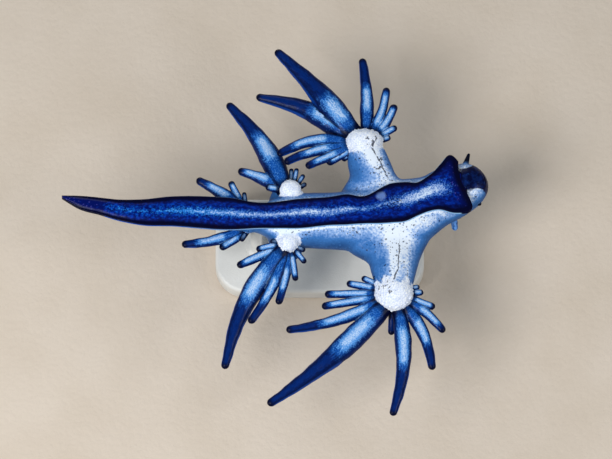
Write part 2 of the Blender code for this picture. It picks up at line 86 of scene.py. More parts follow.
# middle x and y of each pale patch on the flanks, its reach along x and y, its strength
PALE_PATCHES = (
    (7.3, -2.2, 1.5, 1.3, 1.0),
    (7.0, -4.6, 0.55, 2.6, 0.95),
    (8.1, -4.9, 0.6, 2.2, 0.6),
    (10.2, -0.9, 2.4, 0.9, 0.65),
    (3.0, -1.9, 4.0, 0.5, 0.35),
    (-3.1, -1.8, 1.1, 1.0, 0.8),
    (6.2, 4.2, 1.1, 1.0, 0.55),
    (5.0, 5.8, 1.0, 1.2, 1.0),
    (3.9, 6.6, 1.1, 0.45, 0.8),
    (3.7, 4.6, 0.9, 1.2, -0.15),
    (4.6, 2.9, 1.8, 0.6, 0.35),
    (8.5, 3.4, 2.6, 0.5, 0.45),
)
# A thin dark vein runs up each front arm, along these points, and ends in a spot.
VEINS = (
    ((7.5, -3.0), (7.4, -4.5), (7.3, -5.6), (6.9, -6.6)),
    ((6.4, 3.9), (5.95, 4.7), (5.6, 5.4), (5.0, 6.4)),
)
VEIN_SPOT = 0.22
# Fine dark cracks run in the skin where the front arms meet their cushions: middle x and y, radius.
CRACKED = ((6.3, -7.4, 1.1), (5.7, 5.0, 0.9), (5.0, 7.2, 0.8))
STEEL, SKY, LAVENDER, WHITE = (30, 76, 134), (62, 118, 186), (140, 174, 224), (230, 240, 252)
UNDERSIDE, NAVY, CROWN_BLUE, INK = (134, 152, 184), (1, 6, 46), (10, 36, 96), (6, 10, 44)
# painted shade in the furrows between a cushion's grains, the grains, and their tops painted lighter
FURROW_SHADE, GRAIN, LIT_GRAIN_TOP = (196, 208, 238), (230, 238, 251), (246, 250, 255)
# the gloss that all of the moist skin shares
WET = {
    "Roughness": 0.4,
    "Specular IOR Level": 0.05,
    "Coat Weight": 0.12,
    "Coat Roughness": 0.12,
    "Coat IOR": 1.38,
}


def smoothly(low, high, value):
    """From 0 at low to 1 at high, with a soft start and end."""
    share = np.clip((value - low) / (high - low), 0.0, 1.0)
    return share * share * (3 - 2 * share)


def sizes_at(rows, place):
    """The sizes at a place along the rows, on a smooth curve through them."""
    table = np.array(rows, dtype=float)
    places, sizes = table[:, 0], table[:, 1:]
    slopes = np.gradient(sizes, places, axis=0)
    i = int(np.clip(np.searchsorted(places, place) - 1, 0, len(places) - 2))
    step = places[i + 1] - places[i]
    t = (place - places[i]) / step
    start = (2 * t**3 - 3 * t**2 + 1) * sizes[i] + (t**3 - 2 * t**2 + t) * step * slopes[i]
    end = (3 * t**2 - 2 * t**3) * sizes[i + 1] + (t**3 - t**2) * step * slopes[i + 1]
    return start + end


def stations(start, end, spacing):
    """Even steps from start to end, about this far apart."""
    return np.linspace(start, end, round((end - start) / spacing) + 1)


def lean(x):
    """How far a ring's right side falls back, for each millimetre from its middle."""
    return LEAN * float(smoothly(LEAN_FROM, LEAN_TO, x))


def ring_place(middle, across, up):
    """Where a ring lies: its middle, and the vectors from there to its side and to its top."""
    place = Matrix((across, up, across.cross(up).normalized())).transposed().to_4x4()
    place.translation = middle
    return place


def point_layers(bm, *names):
    """Layers that hold a number for each point of a mesh, made where the mesh doesn't have them yet."""
    held = bm.verts.layers.float
    return [held.get(name) or held.new(name) for name in names]


def draw_out(places, sides, shape=None):
    """A closed form, made by drawing a disc out through ring places. It notes each point's place on it."""
    bm = bmesh.new()
    side, top, ring = point_layers(bm, "side", "top", "ring")
    verts = bmesh.ops.create_circle(bm, cap_ends=True, segments=sides, radius=1.0)["verts"]
    for vert in verts:
        if shape:
            vert.co = shape(vert.co)
        vert[side], vert[top] = vert.co.x, vert.co.y
    bmesh.ops.transform(bm, matrix=places[0], verts=verts)
    front = [*bm.edges, *bm.faces]
    for k, (near, far) in enumerate(zip(places, places[1:]), start=1):
        front = bmesh.ops.extrude_face_region(bm, geom=front)["geom"]
        verts = [item for item in front if isinstance(item, bmesh.types.BMVert)]
        bmesh.ops.transform(bm, matrix=far @ near.inverted(), verts=verts)
        for vert in verts:
            vert[ring] = k
    bmesh.ops.recalc_face_normals(bm, faces=bm.faces)
    return bm


def as_object(name, bm, *materials):
    mesh = bpy.data.meshes.new(name)
    bm.to_mesh(mesh)
    bm.free()
    obj = bpy.data.objects.new(name, mesh)
    for material in materials:
        mesh.materials.append(material)
    bpy.context.scene.collection.objects.link(obj)
    return obj


def body_ring(x, middle, half_width, low, high):
    across = Vector((-lean(x), 1.0, 0.0)) * half_width
    return ring_place(Vector((x, middle, (low + high) / 2)), across, Vector((0, 0, (high - low) / 2)))


def ball(middle, radii, turn=Euler()):
    bm = bmesh.new()
    place = Matrix.LocRotScale(middle, turn, Vector(radii))
    bmesh.ops.create_uvsphere(
        bm, u_segments=BALL_SIDES, v_segments=BALL_RINGS, radius=1.0, matrix=place
    )
    return bm


def paint(red, green, blue):
    """A colour given in parts of 255, as the shaders take it."""
    parts = (part / 255 for part in (red, green, blue))
    return (*(p / 12.92 if p < 0.04045 else ((p + 0.055) / 1.055) ** 2.4 for p in parts), 1.0)


def add(tree, kind, inputs=None, **settings):
    """A shader node with its settings made, and its inputs set or linked."""
    node = tree.nodes.new("ShaderNode" + kind)
    for name, value in settings.items():
        setattr(node, name, value)
    for key, value in (inputs or {}).items():
        if isinstance(value, bpy.types.NodeSocket):
            tree.links.new(value, node.inputs[key])
        else:
            node.inputs[key].default_value = value
    return node


def layer(tree, name):
    """What a layer of the mesh says at each point."""
    return add(tree, "Attribute", attribute_name=name).outputs["Fac"]


def maths(tree, operation, *values):
    return add(tree, "Math", dict(enumerate(values)), operation=operation).outputs[0]


def times(tree, value, factor):
    return maths(tree, "MULTIPLY", value, factor)


def plus(tree, value, other, share):
    """A value with this share of another added to it."""
    return maths(tree, "MULTIPLY_ADD", other, share, value)


def rising(tree, value, low, high):
    """From 0 at low to 1 at high, with a soft start and end."""
    inputs = {"Value": value, "From Min": low, "From Max": high}
    return add(tree, "MapRange", inputs, interpolation_type="SMOOTHSTEP").outputs[0]


def over(tree, under, colour, share):
    """A colour laid over another, where share is 1."""
    below, above = (c if isinstance(c, bpy.types.NodeSocket) else paint(*c) for c in (under, colour))
    # a Mix node's two colours are its inputs 6 and 7, and their mix is its output 2
    return add(tree, "Mix", {0: share, 6: below, 7: above}, data_type="RGBA").outputs[2]


def shades(tree, value, stops):
    """Colours that run into one another as value passes each stop."""
    node = add(tree, "ValToRGB", {"Fac": value})
    bands = node.color_ramp.elements
    while len(bands) < len(stops):
        bands.new(0.5)
    for band, (place, colour) in zip(bands, stops):
        band.position, band.color = place, paint(*colour)
    return node.outputs["Color"]


def spaced(tree, sizes, strand=None):
    """The object's own coordinates, or a strand's, with one unit for each of these sizes in millimetres."""
    if strand:
        place = add(tree, "Attribute", attribute_name=strand).outputs["Vector"]
    else:
        place = add(tree, "TexCoord").outputs["Object"]
    scale = [1 / (size * MM) for size in sizes]
    return add(tree, "Mapping", {"Vector": place, "Scale": scale}).outputs[0]


def clouds(tree, *sizes, detail=2.0, strand=None):
    """Soft blotches of these sizes along x, y and z, from about -1 to 1."""
    sizes = sizes * 3 if len(sizes) == 1 else sizes
    place = spaced(tree, sizes, strand)
    blotches = add(tree, "TexNoise", {"Vector": place, "Scale": 1.0, "Detail": detail})
    return plus(tree, -2.0, blotches.outputs["Fac"], 4.0)


def specks(tree, spacing, radius, share, ragged=0.22):
    """Small ragged specks this far apart, in this share of the places."""
    cells = add(tree, "TexVoronoi", {"Vector": spaced(tree, [spacing] * 3), "Scale": 1.0})
    pick = add(tree, "SeparateColor", {"Color": cells.outputs["Color"]}).outputs[0]
    away = plus(tree, cells.outputs["Distance"], clouds(tree, radius), ragged)
    spot = rising(tree, away, radius / spacing, radius / spacing / 2)
    return times(tree, spot, maths(tree, "LESS_THAN", pick, share))


def new_material(name, gloss):
    """A material with this gloss, its shader tree and its main shader."""
    material = bpy.data.materials.new(name)
    material.use_nodes = True
    shader = material.node_tree.nodes["Principled BSDF"]
    for socket, value in gloss.items():
        shader.inputs[socket].default_value = value
    return material, material.node_tree, shader


def finish(tree, shader, colour, relief, depth):
    """The colour of a finish, and its fine relief, this deep in millimetres."""
    bump = add(tree, "Bump", {"Height": relief, "Distance": depth * MM})
    tree.links.new(colour, shader.inputs["Base Color"])
    tree.links.new(bump.outputs["Normal"], shader.inputs["Normal"])


flank_skin, tree, shader = new_material("flank_skin", WET)
normal = add(tree, "NewGeometry").outputs["Normal"]
faces_up = add(tree, "SeparateXYZ", {"Vector": normal}).outputs["Z"]
# steel blue to white, mottled, painted paler where the skin faces up and bluer on its steep sides: painted
# light and shade
paler = times(tree, layer(tree, "pale"), plus(tree, 0.15, rising(tree, faces_up, 0.2, 0.95), 0.85))
paler = plus(tree, paler, clouds(tree, 1.3), 0.08)
mottling = plus(tree, 0.04, rising(tree, paler, 0.1, 0.6), 0.2)
paler = plus(tree, paler, clouds(tree, 0.22, detail=4.0), mottling)
colour = shades(tree, paler, ((0.0, STEEL), (0.3, SKY), (0.6, LAVENDER), (0.9, WHITE)))
# dots of sky blue, and specks of ink in two sizes
dots = specks(tree, 0.3, 0.1, plus(tree, 0.4, clouds(tree, 1.5), 0.25))
colour = over(tree, colour, SKY, times(tree, dots, 0.6))
ink_share = plus(tree, 0.2, clouds(tree, 0.8), 0.3)
ink_share = times(tree, ink_share, rising(tree, paler, 0.1, 0.5))
ink = maths(tree, "MAXIMUM", specks(tree, 0.34, 0.12, ink_share), specks(tree, 0.2, 0.07, ink_share))
colour = over(tree, colour, INK, times(tree, ink, 0.85))
# the cushions' white grains, with painted shade in their furrows and their tops painted lighter
grains = shades(tree, layer(tree, "grain"), ((0.0, FURROW_SHADE), (0.25, GRAIN), (0.6, LIT_GRAIN_TOP)))
white = plus(tree, layer(tree, "cushion"), clouds(tree, 0.2, detail=3.0), 0.16)
colour = over(tree, colour, grains, rising(tree, white, 0.15, 0.6))
# the dark cracks and veins
cell_inputs = {"Vector": spaced(tree, [0.5] * 3), "Scale": 1.0}
cells = add(tree, "TexVoronoi", cell_inputs, feature="DISTANCE_TO_EDGE")
crack = rising(tree, cells.outputs["Distance"], 0.16, 0.06)
crack = times(tree, crack, rising(tree, clouds(tree, 0.4), 0.1, 0.5))
crack = times(tree, crack, rising(tree, layer(tree, "cracked"), 0.3, 0.6))
off_vein = plus(tree, layer(tree, "vein"), clouds(tree, 0.4, detail=4.0), 0.1)
thread = rising(tree, maths(tree, "ABSOLUTE", off_vein), 0.08, 0.035)
thread = times(tree, thread, rising(tree, clouds(tree, 0.3), -0.9, 0.2))
colour = over(tree, colour, INK, times(tree, maths(tree, "MAXIMUM", crack, thread), 0.9))
# the mottled navy crown, and the silver-grey underside
crown_share = plus(tree, layer(tree, "crown"), clouds(tree, 0.25, detail=4.0), 0.14)
crown_blue = over(tree, NAVY, CROWN_BLUE, rising(tree, clouds(tree, 0.5, detail=4.0), -0.3, 0.9))
crown_blue = over(tree, crown_blue, STEEL, rising(tree, clouds(tree, 0.14, detail=3.0), 0.4, 1.3))
colour = over(tree, colour, crown_blue, rising(tree, crown_share, 0.25, 0.7))
colour = over(tree, colour, UNDERSIDE, rising(tree, faces_up, -0.1, -0.5))
finish(tree, shader, colour, clouds(tree, 0.22, detail=3.0), 0.006)

trunk_places = [
    body_ring(x, *sizes_at(TRUNK, x)) for x in stations(TRUNK[0][0], TRUNK[-1][0], TRUNK_STEP)
]
body_forms = [draw_out(trunk_places, TRUNK_SIDES), ball(MOUTH, LIPS, MOUTH_TURN)]

# The foot.
# The long sole, uppermost because the animal hangs from the water's surface. A thin band of muscle with wavy
# margins, dark along both edges and silver down the middle, partly painted sheen, from behind the head to
# the tip of the tail.

# x, middle y, half width
FOOT = (
    (-24.35, 1.5, 0.15),
    (-22.7, 0.97, 0.66),
    (-20.7, 0.57, 0.88),
    (-19.0, 0.2, 1.05),
    (-17.0, 0.0, 1.28),
    (-13.5, 0.08, 1.52),
    (-11.3, -0.02, 1.62),
    (-9.0, -0.15, 1.65),
    (-5.5, -0.35, 1.3),
    (-1.9, -0.15, 1.5),
    (1.0, 0.1, 1.45),
    (2.5, 0.25, 1.55),
    (4.0, 0.2, 1.4),
    (6.7, 0.9, 2.0),
    (8.1, 1.05, 2.0),
    (9.2, 1.3, 1.7),
    (10.2, 1.8, 1.75),
    (11.0, 2.15, 1.95),
    (12.0, 2.4, 2.55),
    (13.0, 2.85, 2.95),
    (13.6, 2.85, 2.8),
)
FOOT_MIDDLE, FOOT_THICKNESS = -0.3, 0.55
FOOT_SIDES, FOOT_STEP, FOOT_FULLNESS = 48, 0.15, 0.6
# The sole dips just inside its margins, this far, and the margins wave up and down, each in its own way.
MARGIN_DIP, MARGIN_AT, MARGIN_WIDTH = 0.1, 0.72, 0.2
MARGIN_WAVE, WAVES_PER_MM = 0.07, 0.45
WAVES_FROM, MARGINS_APART = 0.45, 7.0
RIPPLE, RIPPLES_PER_MM, FOOT_DROP = 0.02, 1.6, 0.02
# The front is rounded in plan and thinner by this share, and its dark margin is this deep.
FRONT_ROUNDING, FRONT_ROUNDEST = 0.7, 0.97
FRONT_THINNING, FRONT_MARGIN = 0.65, 2.1
# The front edge isn't straight: it falls back right of the middle and bulges near the left corner.
FRONT_BEND, FRONT_BEND_FROM, BEND_SHIFT, BEND_SPAN = 0.22, 11.5, 0.35, 1.2
FOOT_FINISH = 1
# x, the stripe's middle as a share of the foot's half width, its half width as such a share, its strength
STRIPE = (
    (-24.4, 0.0, 0.4, 0.0),
    (-21.0, 0.0, 0.4, 0.1),
    (-19.0, 0.1, 0.35, 0.5),
    (-17.0, 0.0, 0.35, 0.4),
    (-14.0, 0.0, 0.32, 0.6),
    (-10.0, 0.0, 0.3, 0.7),
    (-6.0, 0.0, 0.28, 0.75),
    (-3.5, 0.0, 0.28, 0.7),
    (-1.0, 0.0, 0.3, 0.85),
    (1.0, -0.12, 0.32, 0.72),
    (2.5, -0.05, 0.25, 0.75),
    (3.8, 0.0, 0.22, 0.6),
    (6.0, 0.0, 0.28, 0.5),
    (7.6, 0.05, 0.32, 0.72),
    (9.5, 0.15, 0.36, 0.98),
    (11.3, 0.05, 0.38, 0.75),
    (12.7, 0.0, 0.3, 0.2),
    (13.6, 0.0, 0.3, 0.0),
)
# Brown grains break the stripe here: middle x and y, its reach along x and y.
GRAINS = (6.9, 0.9, 0.9, 0.6)
PALE_SPOT, PALE_SPOT_RADIUS = Vector((5.75, 1.6)), 0.55
# where the foot turns to its tail's brighter blue, and where it turns dark at its two ends
TAIL_FROM, TAIL_TO = -4.0, -15.0
DARK_FRONT, DARK_TIP = (12.2, 13.0), (-19.6, -21.4)
MARGIN_BLACK, MARGIN_BROWN = (1, 3, 36), (10, 2, 28)
DEEP_BLUE, ROYAL_BLUE, LIT_BLUE = (0, 14, 88), (0, 48, 158), (8, 96, 206)
SILVER_BLUE, SILVER_AND_SHEEN, AZURE = (50, 108, 192), (208, 226, 248), (40, 140, 226)
RIM_BLUE, RIM_AZURE, SPOT, VIOLET = (150, 196, 240), (16, 84, 190), (112, 144, 206), (62, 64, 150)

foot_skin, tree, shader = new_material("foot_skin", WET)
tailward, endward = layer(tree, "tail"), layer(tree, "ends")
outward = plus(tree, layer(tree, "margin"), clouds(tree, 0.7), 0.03)
outward = plus(tree, outward, tailward, 0.08)
# the mottled blues, and brighter blue painted as light away from the margins, more of it towards the tail
mottling = plus(tree, clouds(tree, 0.35, 0.25, 0.25, detail=4.0), endward, -0.8)
colour = over(tree, DEEP_BLUE, ROYAL_BLUE, rising(tree, mottling, -0.5, 0.9))
lit = plus(tree, clouds(tree, 0.2, 0.16, 0.16, detail=4.0), tailward, 0.4)
lit = plus(tree, lit, endward, -0.9)
lit = times(tree, rising(tree, lit, 0.3, 1.1), rising(tree, outward, 0.75, 0.2))
colour = over(tree, colour, LIT_BLUE, times(tree, lit, 0.7))
# the stripe's silver flecks, partly the foot's own silver and partly painted sheen
flecks = plus(tree, layer(tree, "stripe"), clouds(tree, 0.12, detail=3.0), 0.3)
flecks = plus(tree, flecks, clouds(tree, 0.6, 0.4, 0.4), 0.1)
flecks = plus(tree, flecks, tailward, -0.15)
colour = over(tree, colour, over(tree, SILVER_BLUE, AZURE, tailward), rising(tree, flecks, 0.2, 0.6))
colour = over(tree, colour, SILVER_AND_SHEEN, rising(tree, flecks, 0.45, 1.05))
# the violet specks at the ends, the pale spot and the brown grains
violet = specks(tree, 0.24, 0.07, times(tree, endward, 0.5))
colour = over(tree, colour, VIOLET, violet)
spotted = plus(tree, layer(tree, "spot"), clouds(tree, 0.15, detail=3.0), 0.2)
colour = over(tree, colour, SPOT, times(tree, rising(tree, spotted, 0.35, 0.9), 0.7))
browned = rising(tree, clouds(tree, 0.16, 0.12, 0.12, detail=3.0), -0.1, 0.3)
browned = times(tree, rising(tree, layer(tree, "brown"), 0.1, 0.7), browned)
colour = over(tree, colour, MARGIN_BROWN, times(tree, browned, 0.85))
# the near-black margins, and the light rim under them
edge = over(tree, MARGIN_BLACK, MARGIN_BROWN, rising(tree, clouds(tree, 0.6), 0.2, 1.0))
colour = over(tree, colour, edge, rising(tree, outward, 0.56, 0.86))
rim = over(tree, over(tree, RIM_BLUE, RIM_AZURE, tailward), edge, rising(tree, endward, 0.2, 0.5))
colour = over(tree, colour, rim, rising(tree, layer(tree, "top"), 0.45, 0.2))
finish(tree, shader, colour, clouds(tree, 0.14, detail=3.0), 0.005)


def bell(point, x, y, reach_x, reach_y):
    """1 at x and y, falling to 0 around them."""
    return math.exp(-(((point.x - x) / reach_x) ** 2) - ((point.y - y) / reach_y) ** 2)


def foot_section(point):
    """The band's rounded oblong section, from a point on a unit circle."""
    x = math.copysign(abs(point.x) ** FOOT_FULLNESS, point.x)
    y = math.copysign(abs(point.y) ** FOOT_FULLNESS, point.y)
    if y > 0:
        dip = MARGIN_DIP / (FOOT_THICKNESS / 2)
        y -= dip * math.exp(-(((abs(x) - MARGIN_AT) / MARGIN_WIDTH) ** 2))
    return Vector((x, y, 0.0))


def at_ends(x):
    """1 in front of the neck and at the tail's tip, where the foot and its rim turn dark."""
    return float(smoothly(*DARK_FRONT, x) + smoothly(*DARK_TIP, x))


def in_finish(bm, number):
    """Gives a form this one of the skin's finishes."""
    for face in bm.faces:
        face.material_index = number


foot_front = FOOT[-1][0]
foot_stations = list(stations(FOOT[0][0], foot_front, FOOT_STEP))
foot_places = []
for x in foot_stations:
    middle, half_width = sizes_at(FOOT, x)
    end = min(max((x - (foot_front - FRONT_ROUNDING)) / FRONT_ROUNDING, 0.0), FRONT_ROUNDEST)
    rounding = math.sqrt(1 - end * end)
    thickness = FOOT_THICKNESS * (1 - FRONT_THINNING + FRONT_THINNING * rounding)
    half_width -= FRONT_ROUNDING * (1 - rounding)
    low, high = FOOT_MIDDLE - thickness / 2, FOOT_MIDDLE + thickness / 2
    foot_places.append(body_ring(x, middle, half_width, low, high))
bm = draw_out(foot_places, FOOT_SIDES, foot_section)
side, ring = point_layers(bm, "side", "ring")
stripe, margin, tail, ends, spot, brown = point_layers(
    bm, "stripe", "margin", "tail", "ends", "spot", "brown"
)
for vert in bm.verts:
    x = foot_stations[int(vert[ring])]
    middle, half_width, strength = sizes_at(STRIPE, x)
    from_spot = (vert.co.xy - PALE_SPOT).length / PALE_SPOT_RADIUS
    vert[stripe] = strength * math.exp(-(((vert[side] - middle) / half_width) ** 2))
    vert[spot] = math.exp(-(from_spot**4))
    vert[brown] = bell(vert.co, *GRAINS)
    vert[margin] = max(abs(vert[side]), 1 - (foot_front - x) / FRONT_MARGIN)
    vert[tail] = smoothly(TAIL_FROM, TAIL_TO, x)
    vert[ends] = at_ends(x)
    bend = FRONT_BEND * float(smoothly(FRONT_BEND_FROM, foot_front, x))
    vert.co.x -= bend * math.sin(math.pi * (vert[side] + BEND_SHIFT) / BEND_SPAN)
    at_edge = smoothly(WAVES_FROM, 1.0, abs(vert[side]))
    along = Vector((vert.co.x * WAVES_PER_MM, math.copysign(MARGINS_APART, vert[side]), 0.0))
    vert.co.z += MARGIN_WAVE * at_edge * noise.noise(along) - FOOT_DROP
    vert.co.z += RIPPLE * noise.noise(vert.co * RIPPLES_PER_MM)
in_finish(bm, FOOT_FINISH)
foot = as_object("foot", bm)

# The arms.
# Two pairs of fleshy arms hold the cerata out to the sides and keep the animal afloat. They leave the trunk
# in wide smooth webs, so they are blended into it before the skin takes its colours.

# distance out from the midline, middle x, half width, middle height, half height
ARM_FRONT_LEFT = (
    (1.5, 6.3, 4.3, -2.8, 1.8),
    (3.2, 6.35, 3.4, -2.75, 1.8),
    (4.0, 6.85, 2.6, -2.55, 1.75),
    (5.4, 6.95, 2.15, -2.1, 1.6),
    (6.9, 6.95, 1.8, -1.65, 1.3),
)
ARM_FRONT_RIGHT = (
    (1.5, 5.6, 4.2, -2.8, 1.8),
    (3.3, 5.4, 3.2, -2.75, 1.8),
    (4.3, 5.1, 2.3, -2.5, 1.75),
    (5.5, 4.7, 2.1, -2.1, 1.6),
    (6.9, 4.4, 1.75, -1.65, 1.3),
)
ARM_MIDDLE = (
    (1.0, -3.2, 1.8, -3.0, 0.85),
    (2.6, -3.15, 1.6, -3.0, 0.8),
    (3.5, -3.05, 1.2, -2.95, 0.7),
    (3.9, -3.0, 0.75, -2.9, 0.4),
)
ARM_SIDES, ARM_STEP = 40, 0.25

for rows, hand in ((ARM_FRONT_LEFT, -1), (ARM_FRONT_RIGHT, 1), (ARM_MIDDLE, -1), (ARM_MIDDLE, 1)):
    arm_places = []
    for out in stations(rows[0][0], rows[-1][0], ARM_STEP):
        x, half_width, z, half_height = sizes_at(rows, out)
        arm_places.append(
            ring_place(Vector((x, hand * out, z)), Vector((half_width, 0, 0)), Vector((0, 0, half_height)))
        )
    body_forms.append(draw_out(arm_places, ARM_SIDES))

# The cushions.
# A white granular pad ends each arm, and a small pair sits beside the tail. The fans of cerata spring from
# under their rims. The grains are modelled in the surface, on a mesh made finer there.
CUSHIONS = {
    "front_left": (Vector((6.95, -7.6, -1.5)), Vector((1.77, 1.77, 1.35))),
    "front_right": (Vector((4.2, 7.55, -1.5)), Vector((1.73, 1.2, 1.35))),
    "middle_left": (Vector((-3.0, -2.55, -1.5)), Vector((0.95, 1.0, 0.9))),
    "middle_right": (Vector((-2.8, 2.65, -1.5)), Vector((1.0, 1.0, 0.9))),
    "rear_left": (Vector((-6.7, -0.9, -1.9)), Vector((0.65, 0.65, 0.6))),
    "rear_right": (Vector((-7.0, 0.8, -1.9)), Vector((0.65, 0.65, 0.6))),
}
WHITE_CUSHIONS = [sizes for name, sizes in CUSHIONS.items() if not name.startswith("rear")]
# How far the white runs towards the body on the left and on the right, down the cushion and past its rim,
# in shares of its radii. Its edge towards the body is ragged: how fine and how far.
WHITE_TO, WHITE_FADE = (0.85, 1.5), 0.75
WHITE_DOWN, WHITE_RIM = (-0.95, -0.6), (1.0, 1.5)
WHITE_RAGGED = ((1.3, 0.5), (4.0, 0.25))
FINER_FROM = 0.2
GRAIN_SIZE, GRAIN_HEIGHT, GRAIN_ROUND = 0.2, 0.06, 0.6
SWELL_SIZE, SWELL_HEIGHT = 0.6, 0.05
# The lobes are on a cushion's side, and fade out above and below where its face turns up or down.
LOBE_SIZE, LOBE_HEIGHT = 0.3, 0.2
LOBES_UPPER, LOBES_LOWER = (0.75, 0.35), (-0.5, -0.1)

for middle, radii in CUSHIONS.values():
    body_forms.append(ball(middle, radii))

# The body.
# The trunk, the arms and the cushions run into one another like the flesh they are, so they are melted into
# one form and smoothed. Then the mouth is cut, the cushions get their grains and the flanks their markings.
VOXEL = 0.15
BODY_SMOOTHING, SMOOTH_SHARE = 9, 0.5
# The flank is pale in general, and more so in bands along the foot: how much more, from where to where.
PALE_FLANK, PALE_BANDS = 0.3, ((0.3, 0.0, 0.8), (0.3, 0.05, 0.25))
PALE_HEIGHTS, PATCH_SOFTER = (-4.2, -1.2), 0.5
HEAD_DARKER, HEAD_FROM = 0.1, (12.8, 13.6)
CROWN_HEIGHTS, CROWN_NAVY, CROWN_LIGHT = (-4.2, -2.2), 1.2, 1.6
FAR_FROM_VEINS = 9.0

everything = bmesh.new()
for form in body_forms:
    joined = bpy.data.meshes.new("joined")
    form.to_mesh(joined)
    form.free()
    everything.from_mesh(joined)
    bpy.data.meshes.remove(joined)
body = as_object("body", everything)


def apply_modifiers(obj):
    shaped = bpy.data.meshes.new_from_object(obj.evaluated_get(bpy.context.evaluated_depsgraph_get()))
    obj.modifiers.clear()
    obj.data = shaped


def fuse(obj, pieces, operation="UNION"):
    """Adds the pieces to an object, or cuts them out of it."""
    group = bpy.data.collections.new("pieces")
    bpy.context.scene.collection.children.link(group)
    for piece in pieces:
        bpy.context.scene.collection.objects.unlink(piece)
        group.objects.link(piece)
    modifier = obj.modifiers.new("fuse", "BOOLEAN")
    modifier.operation = operation
    modifier.solver = "MANIFOLD"
    modifier.operand_type = "COLLECTION"
    modifier.collection = group
    apply_modifiers(obj)
    for piece in pieces:
        bpy.data.objects.remove(piece)
    bpy.data.collections.remove(group)


def smooth(bm, verts, rounds):
    for _ in range(rounds):
        bmesh.ops.smooth_vert(
            bm, verts=verts, factor=SMOOTH_SHARE, use_axis_x=True, use_axis_y=True, use_axis_z=True
        )


def on_cushion(point):
    """1 on the white top of a cushion, falling to 0 past its rim."""
    ragged = sum(far * noise.noise(point * fineness) for fineness, far in WHITE_RAGGED)
    most = 0.0
    for middle, radii in WHITE_CUSHIONS:
        away = point - middle
        reach = Vector((away.x / radii.x, away.y / radii.y, away.z / radii.z)).length
        above = smoothly(*WHITE_DOWN, away.z / radii.z)
        towards_body = -away.y / radii.x * math.copysign(1.0, middle.y) + ragged
        white_to = WHITE_TO[middle.y > 0]
        outer = 1 - smoothly(white_to - WHITE_FADE, white_to, towards_body)
        most = max(most, float((1 - smoothly(*WHITE_RIM, reach)) * above * outer))
    return most


def paleness(point):
    """How pale the flank is: steel blue low down, paler at the foot's margin, white in patches."""
    middle, half_width = sizes_at(FOOT, point.x)
    from_foot = abs(point.y - middle) - half_width
    general = PALE_FLANK
    for more, near, far in PALE_BANDS:
        general += more * (1 - smoothly(near, far, from_foot))
    patches = [strength * bell(point, x, y, *reach) for x, y, *reach, strength in PALE_PATCHES]
    pale = general + sum(patches) * (1 - PATCH_SOFTER * general)
    darker = 1 - HEAD_DARKER * smoothly(*HEAD_FROM, point.x)
    return float(smoothly(*PALE_HEIGHTS, point.z) * darker) * pale


def from_vein(point):
    """The distance to the nearest vein, negative on one side of it."""
    nearest = FAR_FROM_VEINS
    for vein in VEINS:
        from_spot = (point.xy - Vector(vein[-1])).length
        for start, end in zip(vein, vein[1:]):
            start, along = Vector(start), Vector(end) - Vector(start)
            away = point.xy - start
            share = min(max(away.dot(along) / along.length_squared, 0.0), 1.0)
            distance = (away - along * share).length
            if distance < abs(nearest):
                nearest = math.copysign(distance, along.cross(away))
                if from_spot < VEIN_SPOT:
                    nearest *= from_spot / VEIN_SPOT
    return nearest


def crown_at(point):
    """1 on the navy crown of the head."""
    navy = sum(bell(point, x, y, reach, reach) for x, y, reach in CROWN)
    light = sum(bell(point, x, y, reach, reach) for x, y, reach in CROWN_PATCHES)
    share = max(CROWN_NAVY * navy - CROWN_LIGHT * light, 0.0)
    return share * float(smoothly(*CROWN_HEIGHTS, point.z))


remesh = body.modifiers.new("melt", "REMESH")
remesh.mode = "VOXEL"
remesh.voxel_size = VOXEL
apply_modifiers(body)
bm = bmesh.new()
bm.from_mesh(body.data)
smooth(bm, bm.verts, BODY_SMOOTHING)
bm.to_mesh(body.data)
bm.free()
fuse(body, [as_object("mouth", ball(MOUTH, MOUTH_LINE, MOUTH_TURN))], "DIFFERENCE")

bm = bmesh.new()
bm.from_mesh(body.data)
whitest = {vert.index: on_cushion(vert.co) for vert in bm.verts}
pads = [edge for edge in bm.edges if max(whitest[vert.index] for vert in edge.verts) > FINER_FROM]
bmesh.ops.subdivide_edges(bm, edges=pads, cuts=1, use_grid_fill=True, smooth=1.0)
cushion, grain, pale, vein, crown, cracked, ends = point_layers(
    bm, "cushion", "grain", "pale", "vein", "crown", "cracked", "ends"
)
bm.normal_update()
for vert in bm.verts:
    vert[cushion] = on_cushion(vert.co)
    vert[pale] = paleness(vert.co)
    vert[vein] = from_vein(vert.co)
    vert[crown] = crown_at(vert.co)
    vert[ends] = at_ends(vert.co.x)
    vert[cracked] = sum(bell(vert.co, x, y, reach, reach) for x, y, reach in CRACKED)
    if vert[cushion] > 0:
        near, second = noise.voronoi(vert.co / GRAIN_SIZE)[0][:2]
        vert[grain] = min(second - near, GRAIN_ROUND) / GRAIN_ROUND
        swell = noise.noise(vert.co / SWELL_SIZE) * SWELL_HEIGHT
        slope = vert.normal.z
        on_side = float(smoothly(*LOBES_UPPER, slope) * smoothly(*LOBES_LOWER, slope))
        lobe = abs(noise.noise(vert.co / LOBE_SIZE)) * LOBE_HEIGHT * on_side
        vert.co += vert.normal * (vert[grain] * GRAIN_HEIGHT + swell + lobe) * vert[cushion]
bm.to_mesh(body.data)
bm.free()
